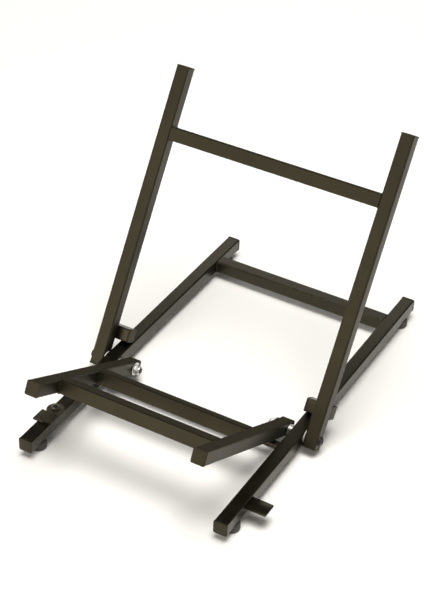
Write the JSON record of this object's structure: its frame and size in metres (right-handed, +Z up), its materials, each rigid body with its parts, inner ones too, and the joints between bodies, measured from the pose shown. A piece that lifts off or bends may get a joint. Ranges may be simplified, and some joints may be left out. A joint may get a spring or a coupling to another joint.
{
  "type": "folding amp stand",
  "caption": "Folding tilt-back amp stand of square steel tube: floor rails, a hinged tray with raised arms and a hinged back of two leaning uprights.",
  "frame": {"origin": "under the middle of the stand's bounding box, on the floor plane, with the stand set up for use", "axes": "+X to the stand's right as seen from the front, +Y from the front ends of the floor rails to their rear ends, +Z up"},
  "size_m": [0.3838, 0.6042, 0.3983],
  "materials": {
    "frame_paint": "semi-gloss black powder coat",
    "plates": "satin black powder coat",
    "end_caps": "fine moulded grain",
    "feet": "matt black rubber",
    "buffers": "matt black rubber",
    "zinc_hardware": "zinc plated",
    "glides": "natural nylon",
    "black_bolts": "black oxide",
    "grip": "satin moulded plastic"
  },
  "bodies": {
    "base": {"rail_left": "frame_paint", "rail_right": "frame_paint", "rest_rod": "frame_paint", "rear_cross_tube": "frame_paint", "rail_cap_front_left": "end_caps", "rail_cap_front_right": "end_caps", "rail_cap_rear_left": "end_caps", "rail_cap_rear_right": "end_caps", "foot_front_left": "feet", "foot_front_right": "feet", "foot_rear_left": "feet", "foot_rear_right": "feet", "foot_screws": "zinc_hardware", "pivot_bolt_left": "black_bolts", "pivot_bolt_right": "black_bolts", "pivot_nut_left": "zinc_hardware", "pivot_nut_right": "zinc_hardware", "pivot_spacers": "zinc_hardware", "pivot_washers": "zinc_hardware", "pivot_glides": "glides", "rest_tab": "plates", "latch_bolt": "black_bolts"},
    "tray": {"arm_left": "frame_paint", "arm_right": "frame_paint", "tray_front_bar": "frame_paint", "tray_rear_bar": "frame_paint", "arm_cap_front_left": "end_caps", "arm_cap_front_right": "end_caps", "arm_cap_rear_left": "end_caps", "arm_cap_rear_right": "end_caps", "arm_buffer_left": "buffers", "arm_buffer_right": "buffers"},
    "back": {"upright_left": "frame_paint", "upright_right": "frame_paint", "back_bar": "frame_paint", "upright_cap_top_left": "end_caps", "upright_cap_top_right": "end_caps", "upright_cap_bottom_left": "end_caps", "upright_cap_bottom_right": "end_caps", "back_stop_left": "frame_paint", "back_stop_right": "frame_paint", "stop_caps": "end_caps"},
    "latch_plate": {"latch_plate": "plates", "latch_grip": "grip"},
    "latch_nut": {"latch_nut": "black_bolts"}
  },
  "joints": [
    {"name": "tray_fold", "type": "hinge", "parent": "base", "child": "tray", "pos_m": [-0.00285, -0.05894, 0.021], "axis": [1, 0, 0], "range_deg": [-152.8, 0]},
    {"name": "back_fold", "type": "hinge", "parent": "base", "child": "back", "pos_m": [-0.00285, -0.05894, 0.021], "axis": [1, 0, 0], "range_deg": [0, 112.4]},
    {"name": "latch_swing", "type": "hinge", "parent": "base", "child": "latch_plate", "pos_m": [-0.15635, -0.20794, 0.03255], "axis": [0, 0, 1], "range_deg": [0, 90]},
    {"name": "nut_turn", "type": "hinge", "parent": "base", "child": "latch_nut", "pos_m": [-0.15635, -0.20794, 0.0366], "axis": [0, 0, 1], "continuous": true}
  ]
}
